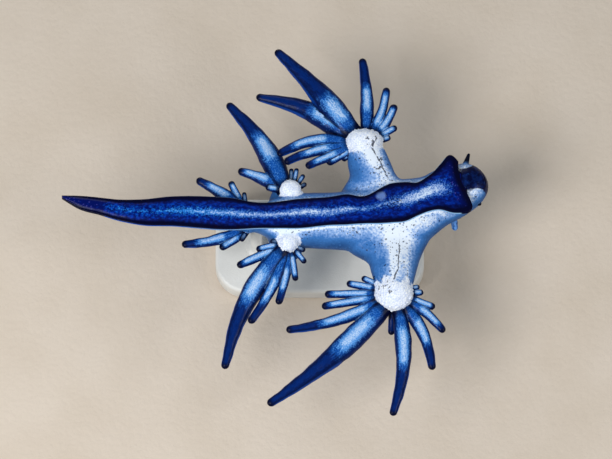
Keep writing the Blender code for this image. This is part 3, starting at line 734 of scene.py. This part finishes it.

# The cerata.
# Fingers of soft flesh in fans round each cushion, slim at the root, fullest a third of the way out and
# round at the tip. They store the stings of the animal's prey. The long ones bow and droop a little.

# bearing of the root and of the tip from the cushion's middle, in degrees from +X towards +Y; how far the
# tip reaches; girth; how far the tip drops; how far it bows to its own left; and for the longer ones where
# along the part that shows the silver, partly painted highlight, turns on and gives way to navy
CERATA = {
    "front_left": (
        (132, 140, 2.5, 0.65, 0.0, 0.0),
        (146, 153, 3.4, 0.7, 0.2, 0.0),
        (160, 167, 4.6, 0.8, 0.3, 0.0),
        (180, 180, 6.5, 0.85, 0.5, 0.0),
        (195, 190, 6.9, 0.9, 0.6, 0.0),
        (215, 199, 10.7, 1.25, 0.8, 0.5, 0.12, 0.63),
        (238, 222, 15.9, 2.25, 1.4, 0.5, 0.1, 0.42),
        (266, 266, 3.6, 0.75, 1.8, 0.0, 0.0, 0.0),
        (289, 269, 11.8, 1.6, 1.3, 0.85, 0.15, 0.53),
        (313, 296, 8.2, 1.3, 1.0, 0.65, 0.22, 0.62),
        (330, 322, 6.0, 1.0, 0.7, 0.35, 0.25, 0.8),
        (346, 341, 4.1, 0.8, 0.5, 0.0),
        (362, 362, 2.8, 0.7, 0.3, 0.0),
        (377, 374, 2.5, 0.6, 0.1, 0.0),
    ),
    "front_right": (
        (4, 12, 2.6, 0.65, 0.2, 0.0),
        (18, 27, 3.5, 0.75, 0.2, 0.0),
        (33, 53, 4.9, 0.95, 0.3, -0.3),
        (50, 69, 6.1, 1.0, 0.4, -0.3),
        (78, 91, 8.75, 1.35, 0.6, -0.25, 0.25, 0.6),
        (147, 131.5, 12.7, 2.4, 0.4, -0.3, 0.1, 0.37),
        (168, 153.5, 11.5, 2.2, 1.4, -1.0, 0.15, 0.44),
        (186, 191, 8.4, 1.3, -0.7, -0.8, 0.28, 0.76),
        (196, 197, 7.9, 1.15, -0.6, -0.3, 0.28, 0.7),
        (205, 206, 6.2, 1.0, -0.5, 0.0, 0.3, 0.8),
        (214, 213, 4.2, 0.85, -0.2, 0.0),
        (223, 221, 2.8, 0.7, 0.1, 0.0),
        (234, 232, 2.3, 0.6, 0.2, 0.0),
    ),
    "middle_left": (
        (178, 177, 1.7, 0.6, 0.1, 0.0),
        (194, 193, 3.1, 0.75, 0.2, 0.0),
        (211, 205, 5.3, 1.0, 0.5, 0.0),
        (230, 244, 13.6, 2.05, 1.3, -1.0, 0.18, 0.47),
        (250, 245.5, 8.7, 1.15, 0.6, 0.4, 0.35, 0.7),
        (275, 261, 6.05, 0.95, 0.7, 0.2, 0.3, 0.75),
        (297, 281, 3.8, 0.7, 0.5, 0.0),
        (317, 309, 2.6, 0.6, 0.3, 0.0),
        (335, 332, 1.8, 0.55, 0.2, 0.0),
    ),
    "middle_right": (
        (18, 26, 1.7, 0.5, 0.2, 0.0),
        (37, 54, 2.2, 0.5, 0.5, 0.0),
        (61, 76, 2.6, 0.5, 0.8, 0.0),
        (82, 88, 2.6, 0.5, 1.1, 0.0),
        (103, 102, 3.0, 0.5, 1.3, 0.0),
        (180, 123, 11.1, 2.2, 1.3, -0.7, 0.26, 0.56),
        (163, 155, 5.5, 1.35, 0.9, -0.25, 0.3, 0.85),
        (176, 170, 2.4, 0.75, 0.2, 0.0),
    ),
    "rear_left": (
        (205, 195, 6.6, 1.15, 0.3, 0.3, 0.3, 0.75),
        (222, 217, 3.45, 0.8, 0.3, 0.1, 0.3, 0.86),
        (245, 241, 1.6, 0.55, 0.1, 0.0),
    ),
    "rear_right": (
        (155, 146, 5.7, 1.35, 0.3, -0.2, 0.3, 0.75),
        (125, 117, 3.35, 0.75, 0.3, 0.0, 0.3, 0.9),
        (95, 96, 1.85, 0.5, 0.1, 0.0),
    ),
}
CERAS_WIDEST, CERAS_ROOT_GIRTH, THINNEST = 0.34, 0.75, 0.5
TIP_GIRTH, SLIM_TIP_GIRTH, CERAS_FLATNESS = 0.72, 0.85, 0.85
CERAS_ROOT_OUT, CERAS_ROOT_SINK = 0.5, 0.4
CERAS_SIDES, CERAS_STEP, NEARBY = 24, 0.22, 0.01
# The tip is rounded over not quite a quarter turn, in radians.
TIP_TURN, TIP_RINGS = 1.5, 6
LUMP_SIZE, LUMP_HEIGHT, LUMPS_GROW_TO = 0.9, 0.05, 1.2
# how softly the silver, partly painted highlight, comes, goes and turns to navy along a ceras, and where its
# pale underside ends
SILVER_FADE, SILVER_END, NAVY_FADE = 0.12, (0.12, 0.08), (0.06, 0.12)
PALE_END = (0.95, 0.7)
# how far the ink runs from the tip, how far the painted shade runs from the root, and how much shade there
# is in the middle and at the sides
TIP_DARK, ROOT_SHADE_REACH = 1.3, (1.4, 0.1)
ROOT_MIDDLE, ROOT_SIDES, SIDES_FROM = 0.8, 0.2, (0.2, 0.7)
CERATA_FINISH = 2
# painted shade on the sides, the ceras's blue, its light blue, and the pearl of its painted highlight
SHADED_EDGE_BLUE, CERAS_BLUE, LIGHT_BLUE, PEARL_HIGHLIGHT = (2, 26, 84), (16, 80, 166), (84, 150, 220), (222, 238, 252)
# the navy tip's shaded sides and lit top, the ink of the tip that also paints the shade at the root, and the
# pale underside
SHADED_TIP_EDGE, TIP_BLUE, INK_AND_SHADE, PALE_UNDER = (1, 18, 66), (2, 36, 104), (1, 6, 38), (106, 134, 178)

cerata_skin, tree, shader = new_material("cerata_skin", WET)
streaks = clouds(tree, 0.16, 0.5, 1.0, detail=4.0, strand="strand")
flecks = clouds(tree, 0.07, 0.16, 1.0, detail=2.0, strand="strand")
from_ridge = maths(tree, "ABSOLUTE", layer(tree, "side"))
# lighter blue along the top of the ridge and darker at the sides, painted light and shade; and its silver,
# partly its own and partly painted highlight
lit_ridge = times(tree, rising(tree, from_ridge, 1.0, 0.1), rising(tree, layer(tree, "top"), -0.3, 0.35))
lit_ridge = plus(tree, lit_ridge, streaks, 0.12)
lit_ridge = plus(tree, lit_ridge, flecks, 0.08)
colour = over(tree, SHADED_EDGE_BLUE, CERAS_BLUE, rising(tree, lit_ridge, 0.05, 0.75))
silver_and_highlight = plus(tree, layer(tree, "bright"), streaks, 0.25)
silver_and_highlight = times(tree, rising(tree, silver_and_highlight, 0.1, 0.9), lit_ridge)
silver_and_highlight = plus(tree, silver_and_highlight, flecks, 0.28)
colour = over(tree, colour, LIGHT_BLUE, rising(tree, silver_and_highlight, 0.2, 0.75))
# the pearl white where the silver is strongest is a painted highlight
colour = over(tree, colour, PEARL_HIGHLIGHT, rising(tree, silver_and_highlight, 0.7, 1.35))
# glints and soot towards the root, and painted shade in the grooves between neighbours and where each ceras
# meets the body
past_root = maths(tree, "MAXIMUM", layer(tree, "bright"), layer(tree, "dark"))
near_root = maths(tree, "SUBTRACT", 1.0, past_root)
glints = rising(tree, plus(tree, flecks, streaks, 0.4), 0.1, 0.8)
glints = times(tree, glints, rising(tree, lit_ridge, 0.1, 0.8))
glints = times(tree, glints, plus(tree, 0.4, near_root, 0.45))
colour = over(tree, colour, LIGHT_BLUE, glints)
soot = times(tree, rising(tree, flecks, -0.2, -0.7), rising(tree, near_root, 0.1, 0.7))
groove_shade = times(tree, rising(tree, from_ridge, 0.35, 0.9), rising(tree, near_root, 0.4, 1.0))
off_cushion = rising(tree, layer(tree, "cushion"), 0.6, 0.0)
seam_shade = times(tree, rising(tree, layer(tree, "seam"), 0.1, 0.8), off_cushion)
groove_shade = maths(tree, "MAXIMUM", groove_shade, seam_shade)
colour = over(tree, colour, INK_AND_SHADE, times(tree, maths(tree, "MAXIMUM", soot, groove_shade), 0.85))
# the navy tip, lighter along its top and darker at its sides as painted light and shade, and the pale
# underside
navy = over(tree, SHADED_TIP_EDGE, TIP_BLUE, rising(tree, plus(tree, lit_ridge, streaks, 0.4), 0.2, 1.1))
navy = over(tree, navy, CERAS_BLUE, times(tree, rising(tree, flecks, 0.45, 1.0), 0.5))
navy = over(tree, navy, RIM_AZURE, times(tree, rising(tree, from_ridge, 0.8, 0.97), 0.5))
tipward = plus(tree, layer(tree, "dark"), streaks, -0.25)
colour = over(tree, colour, navy, rising(tree, tipward, 0.2, 0.8))
# ink at the very tip, and painted shade near the root, where the core layer falls
colour = over(tree, colour, INK_AND_SHADE, rising(tree, layer(tree, "core"), 0.6, 0.0))
below = times(tree, rising(tree, layer(tree, "top"), -0.3, -0.7), 0.8)
colour = over(tree, colour, PALE_UNDER, times(tree, below, layer(tree, "under")))
finish(tree, shader, colour, clouds(tree, 0.2, detail=3.0), 0.005)


def bearing(degrees):
    """The level direction at these degrees from +X towards +Y."""
    turn = math.radians(degrees)
    return Vector((math.cos(turn), math.sin(turn), 0.0))


def draw_ceras(
    pad, root_bearing, tip_bearing, reach, girth, drop, bow, silver_from=0.15, navy_from=0.86
):
    """One ceras, and its markings from the root to the tip. Its sizes are those of the table."""
    middle, radii = CUSHIONS[pad]
    root = middle + bearing(root_bearing) * radii.x * CERAS_ROOT_OUT
    root.z -= CERAS_ROOT_SINK
    tip = middle + bearing(tip_bearing) * reach
    length = (tip - root).length
    left = Vector((root.y - tip.y, tip.x - root.x, 0.0)).normalized()
    tip_girth = min(TIP_GIRTH, girth * SLIM_TIP_GIRTH)
    swell = (
        (0.0, max(girth * CERAS_ROOT_GIRTH, THINNEST)),
        (CERAS_WIDEST, girth),
        ((1 + CERAS_WIDEST) / 2, (girth + tip_girth) / 2),
        (1.0, tip_girth),
    )
    cap = tip_girth / 2 / length
    shares = list(stations(0.0, 1 - cap, CERAS_STEP / length))
    shares += [1 - cap + cap * math.sin(turn) for turn in np.linspace(0, TIP_TURN, TIP_RINGS)[1:]]

    def point_at(share):
        point = root.lerp(tip, share) + left * bow * math.sin(math.pi * share)
        point.z = root.z - (drop - CERAS_ROOT_SINK) * (1 - (1 - share) ** 2)
        return point

    places = []
    for share in shares:
        point = point_at(share)
        ahead = point_at(share + NEARBY) - point_at(share - NEARBY)
        across = ahead.cross(Vector((0, 0, 1))).normalized()
        up = across.cross(ahead).normalized()
        past = max(share - (1 - cap), 0.0) / cap
        half = sizes_at(swell, share)[0] / 2 * math.sqrt(1 - past * past)
        places.append(ring_place(point, across * half, up * half * CERAS_FLATNESS))
    bm = draw_out(places, CERAS_SIDES)
    side, ring = point_layers(bm, "side", "ring")
    strand = bm.verts.layers.float_vector.new("strand")
    bright, dark, core, under = point_layers(bm, "bright", "dark", "core", "under")
    out = bearing(root_bearing)
    pad_edge = 1 / Vector((out.x / radii.x, out.y / radii.y)).length
    rim = (pad_edge - radii.x * CERAS_ROOT_OUT) / length
    bm.normal_update()
    for vert in bm.verts:
        share = (shares[int(vert[ring])] - rim) / (1 - rim)
        vert[strand] = Vector((vert[side] * girth / 2, share * length, tip_bearing)) * MM
        silver_on = smoothly(silver_from - SILVER_FADE, silver_from + SILVER_FADE, share)
        silver_off = smoothly(navy_from - SILVER_END[0], navy_from + SILVER_END[1], share)
        vert[bright] = silver_on * (1 - silver_off)
        vert[dark] = smoothly(navy_from - NAVY_FADE[0], navy_from + NAVY_FADE[1], share)
        vert[under] = smoothly(*PALE_END, share)
        from_tip = (length - share * length) / TIP_DARK
        # painted shade near the root, fuller at the sides
        root_shade = ROOT_MIDDLE + ROOT_SIDES * smoothly(*SIDES_FROM, abs(vert[side]))
        root_shade = smoothly(*ROOT_SHADE_REACH, share * length) * root_shade
        vert[core] = smoothly(0.0, 1.0, from_tip) * (1 - root_shade)
        lump = noise.noise(vert.co / LUMP_SIZE + middle) * LUMP_HEIGHT * min(girth, LUMPS_GROW_TO)
        vert.co += vert.normal * lump
    in_finish(bm, CERATA_FINISH)
    return as_object("ceras", bm)


cerata = [draw_ceras(pad, *sizes) for pad, fan in CERATA.items() for sizes in fan]

# The feelers.
# Two short oral tentacles beside the mouth and two stubby rhinophores on the neck, with which the animal
# feels and smells. They grow from the head and are the same flesh.

# root, tip, thickness at the root and at the tip, where along it the dark tip starts
FEELERS = (
    (Vector((13.6, 4.5, -1.5)), Vector((14.15, 6.3, -1.3)), 0.85, 0.25, 0.45),
    (Vector((14.3, 2.6, -1.7)), Vector((15.2, 1.25, -1.9)), 1.0, 0.4, 0.85),
    (Vector((12.1, 3.8, -3.2)), Vector((11.0, 5.6, -4.2)), 0.8, 0.5, 1.2),
    (Vector((12.6, 1.2, -3.1)), Vector((12.85, -0.5, -4.0)), 0.8, 0.55, 1.2),
)
FEELER_SIDES, FEELER_RINGS, FEELER_BLUNT = 24, 16, 0.05
FEELER_FADE, FEELER_FINISH = 0.08, 3
FEELER_BLUE, FEELER_TIP = (96, 146, 214), (5, 9, 30)

head_skin, tree, shader = new_material("head_skin", WET)
mottled = over(tree, FEELER_BLUE, STEEL, rising(tree, clouds(tree, 0.3), -0.3, 0.8))
colour = over(tree, mottled, FEELER_TIP, layer(tree, "dark"))
finish(tree, shader, colour, clouds(tree, 0.2), 0.005)


def draw_feeler(root, tip, root_thickness, tip_thickness, dark_from):
    """One straight feeler with a round tip."""
    cap = tip_thickness / 2 / (tip - root).length
    ahead = (tip - root).normalized()
    across = ahead.cross(Vector((0, 0, 1))).normalized()
    up = across.cross(ahead)
    places = []
    for share in np.sin(np.linspace(0, TIP_TURN, FEELER_RINGS)):
        past = max(share - (1 - cap), 0.0) / cap
        thickness = root_thickness + (tip_thickness - root_thickness) * share
        half = thickness / 2 * math.sqrt(max(1 - past * past, FEELER_BLUNT))
        places.append(ring_place(root.lerp(tip, share), across * half, up * half))
    bm = draw_out(places, FEELER_SIDES)
    ring, dark = point_layers(bm, "ring", "dark")
    for vert in bm.verts:
        share = math.sin(vert[ring] / (FEELER_RINGS - 1) * TIP_TURN)
        vert[dark] = smoothly(dark_from - FEELER_FADE, dark_from + FEELER_FADE, share)
    in_finish(bm, FEELER_FINISH)
    return as_object("feeler", bm)


feelers = [draw_feeler(*sizes) for sizes in FEELERS]

# The skin.
# One closed skin over the trunk, arms, cushions, foot, cerata and feelers, moist and glossy. The parts are
# fused here, the creases where they meet are softened, and the skin takes the place of every node of flesh.
CREASE = math.radians(-22.0)
CREASE_SMOOTHING = 3
SEAM_PASSES, WELD = 4, 0.012


def fill_seams(bm):
    """Gives the points where two forms meet, which the fusing leaves blank, the values around them."""
    # the points where the forms meet are marked, for the painted shade in these creases
    seam = bm.verts.layers.float.new("seam")
    floats = [kind for kind in bm.verts.layers.float.values() if kind.name != "seam"]
    vectors = bm.verts.layers.float_vector.values()
    blank = [vert for vert in bm.verts if not any(vert[kind] for kind in floats)]
    for vert in blank:
        vert[seam] = 1.0
    for _ in range(SEAM_PASSES):
        for vert in blank:
            around = [edge.other_vert(vert) for edge in vert.link_edges]
            for kinds, nothing in ((floats, 0.0), (vectors, Vector())):
                for kind in kinds:
                    values = [near[kind] for near in around if near[kind]]
                    vert[kind] = sum(values, nothing) / max(len(values), 1)


skin = body
skin.name = "skin"
skin.data.materials.clear()
for material in (flank_skin, foot_skin, cerata_skin, head_skin):
    skin.data.materials.append(material)
fuse(skin, [foot, *cerata, *feelers])

bm = bmesh.new()
bm.from_mesh(skin.data)
fill_seams(bm)
bmesh.ops.remove_doubles(bm, verts=bm.verts, dist=WELD)
shared = [edge for edge in bm.edges if edge.is_manifold]
creases = [edge for edge in shared if edge.calc_face_angle_signed(0.0) < CREASE]
folded = {vert for edge in creases for vert in edge.verts}
folded |= {edge.other_vert(vert) for vert in folded for edge in vert.link_edges}
smooth(bm, list(folded), CREASE_SMOOTHING)
bmesh.ops.triangulate(bm, faces=[face for face in bm.faces if len(face.verts) > 4])
bmesh.ops.recalc_face_normals(bm, faces=bm.faces)
bm.to_mesh(skin.data)
bm.free()
skin.data.transform(Matrix.Translation((0, 0, SOLE * MM)) @ Matrix.Scale(MM, 4))
skin.data.shade_smooth()

flesh = [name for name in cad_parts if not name.startswith("stand_")]
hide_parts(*flesh)
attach(skin, "root")

# The stand.
# A flat base and two short rods, cast in satin off-white resin. The rods are let into the base and run up
# into the belly, each with a small collar at its foot, and they hold the animal level.
RESIN, RESIN_SHADE = (226, 225, 220), (206, 205, 200)
SATIN = {"Roughness": 0.42}
BASE_CORNER, CORNER_STEPS, BASE_EDGE, EDGE_STEPS = 3.0, 16, 0.35, 5
# the steepest of the level edges, and the least rise of the upright ones
LEVEL, UPRIGHT = 0.01, 1.0
# the collar's outline from its rim to the rod, in shares of its width and height
COLLAR_WIDTH, COLLAR_HEIGHT = 0.45, 0.3
COLLAR = ((1.0, 0.5), (0.7, 0.9), (0.3, 1.0), (0.0, 1.4))
ROD_SINK, ROD_SIDES = 0.6, 48

stand_resin, tree, shader = new_material("stand_resin", SATIN)
colour = over(tree, RESIN, RESIN_SHADE, rising(tree, clouds(tree, 3.0, detail=4.0), -1.0, 1.5))
finish(tree, shader, colour, clouds(tree, 0.15, detail=3.0), 0.006)


def rise(edge):
    """How far an edge climbs."""
    return abs(edge.verts[0].co.z - edge.verts[1].co.z)


def rounded(bm, edges, offset, segments):
    bmesh.ops.bevel(
        bm, geom=edges, offset=offset, affect="EDGES", segments=segments, profile=0.5, material=-1
    )


def stands_for(obj, node):
    """Puts a piece of the stand in its node's place."""
    obj.data.transform(Matrix.Scale(MM, 4))
    obj.data.shade_smooth()
    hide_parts(node)
    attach(obj, "root")


low, high = (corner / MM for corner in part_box("stand_base"))
bm = bmesh.new()
bmesh.ops.create_cube(bm, size=1.0, matrix=Matrix.LocRotScale((low + high) / 2, None, high - low))
rounded(bm, [edge for edge in bm.edges if rise(edge) > UPRIGHT], BASE_CORNER, CORNER_STEPS)
rounded(bm, [edge for edge in bm.edges if rise(edge) < LEVEL], BASE_EDGE, EDGE_STEPS)
base_top = high.z
stands_for(as_object("display_base", bm, stand_resin), "stand_base")

for rod in ("front", "rear"):
    low, high = (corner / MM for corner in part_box(f"stand_rod_{rod}"))
    middle, radius = (low + high) / 2, (high.x - low.x) / 2
    bm = bmesh.new()
    steps = (
        (radius + COLLAR_WIDTH, base_top - ROD_SINK),
        *((radius + COLLAR_WIDTH * out, base_top + COLLAR_HEIGHT * up) for out, up in COLLAR),
        (radius, high.z + ROD_SINK),
    )
    ring = bmesh.ops.create_circle(
        bm, segments=ROD_SIDES, radius=1.0, cap_ends=True, matrix=Matrix.Translation(middle)
    )["verts"]
    front = [*bm.edges, *bm.faces]
    for k, (reach, height) in enumerate(steps):
        if k:
            front = bmesh.ops.extrude_face_region(bm, geom=front)["geom"]
            ring = [item for item in front if isinstance(item, bmesh.types.BMVert)]
        for vert in ring:
            away = (vert.co.xy - middle.xy).normalized() * reach
            vert.co = Vector((middle.x + away.x, middle.y + away.y, height))
    bmesh.ops.recalc_face_normals(bm, faces=bm.faces)
    stands_for(as_object(f"display_rod_{rod}", bm, stand_resin), f"stand_rod_{rod}")

# The studio.
# A plain pale floor under the model and three broad soft lights above it, with the camera looking down on
# the foot from twenty degrees off the vertical, as the photograph does.
FLOOR_SIZE, FLOOR_COLOUR, FLOOR_SHADE = 3.0, (214, 200, 184), (204, 189, 171)
CAMERA_TARGET = Vector((-1.318, -1.853, SOLE)) * MM
CAMERA_ELEVATION, CAMERA_DISTANCE, LENS = math.radians(70.0), 0.5, 312.5
CAMERA_NEAR = 0.001
SKYLIGHT, SKYLIGHT_STRENGTH = (0.74, 0.88, 1.0, 1.0), 0.22
MATT = {"Roughness": 0.8}
# name, place, size, power
LIGHTS = (
    ("key_light", Vector((-0.09, -0.08, 0.14)), 0.10, 0.26),
    ("fill_light", Vector((0.13, -0.05, 0.12)), 0.10, 0.11),
    ("back_light", Vector((-0.03, 0.16, 0.06)), 0.10, 0.05),
)

bm = bmesh.new()
bmesh.ops.create_grid(bm, x_segments=1, y_segments=1, size=FLOOR_SIZE / 2)
floor = as_object("floor", bm)
floor_paint, tree, shader = new_material("floor_paint", MATT)
colour = over(tree, FLOOR_COLOUR, FLOOR_SHADE, rising(tree, clouds(tree, 9.0, detail=6.0), -1.0, 1.5))
finish(tree, shader, colour, clouds(tree, 0.6, detail=4.0), 0.02)
floor.data.materials.append(floor_paint)

for name, place, size, power in LIGHTS:
    lamp = bpy.data.lights.new(name, "AREA")
    lamp.shape = "DISK"
    lamp.size = size
    lamp.energy = power
    light = bpy.data.objects.new(name, lamp)
    light.location = place
    light.rotation_mode = "QUATERNION"
    light.rotation_quaternion = (CAMERA_TARGET - place).to_track_quat("-Z", "Y")
    bpy.context.scene.collection.objects.link(light)

world = bpy.data.worlds.new("studio")
world.use_nodes = True
skylight = world.node_tree.nodes["Background"]
skylight.inputs["Color"].default_value = SKYLIGHT
skylight.inputs["Strength"].default_value = SKYLIGHT_STRENGTH
bpy.context.scene.world = world

lens = bpy.data.cameras.new("camera")
lens.lens = LENS
lens.clip_start = CAMERA_NEAR
camera = bpy.data.objects.new("camera", lens)
back = Vector((0.0, -math.cos(CAMERA_ELEVATION), math.sin(CAMERA_ELEVATION)))
camera.location = CAMERA_TARGET + back * CAMERA_DISTANCE
camera.rotation_mode = "QUATERNION"
camera.rotation_quaternion = (-back).to_track_quat("-Z", "Y")
bpy.context.scene.collection.objects.link(camera)
bpy.context.scene.camera = camera
bpy.context.scene.view_settings.view_transform = "Standard"
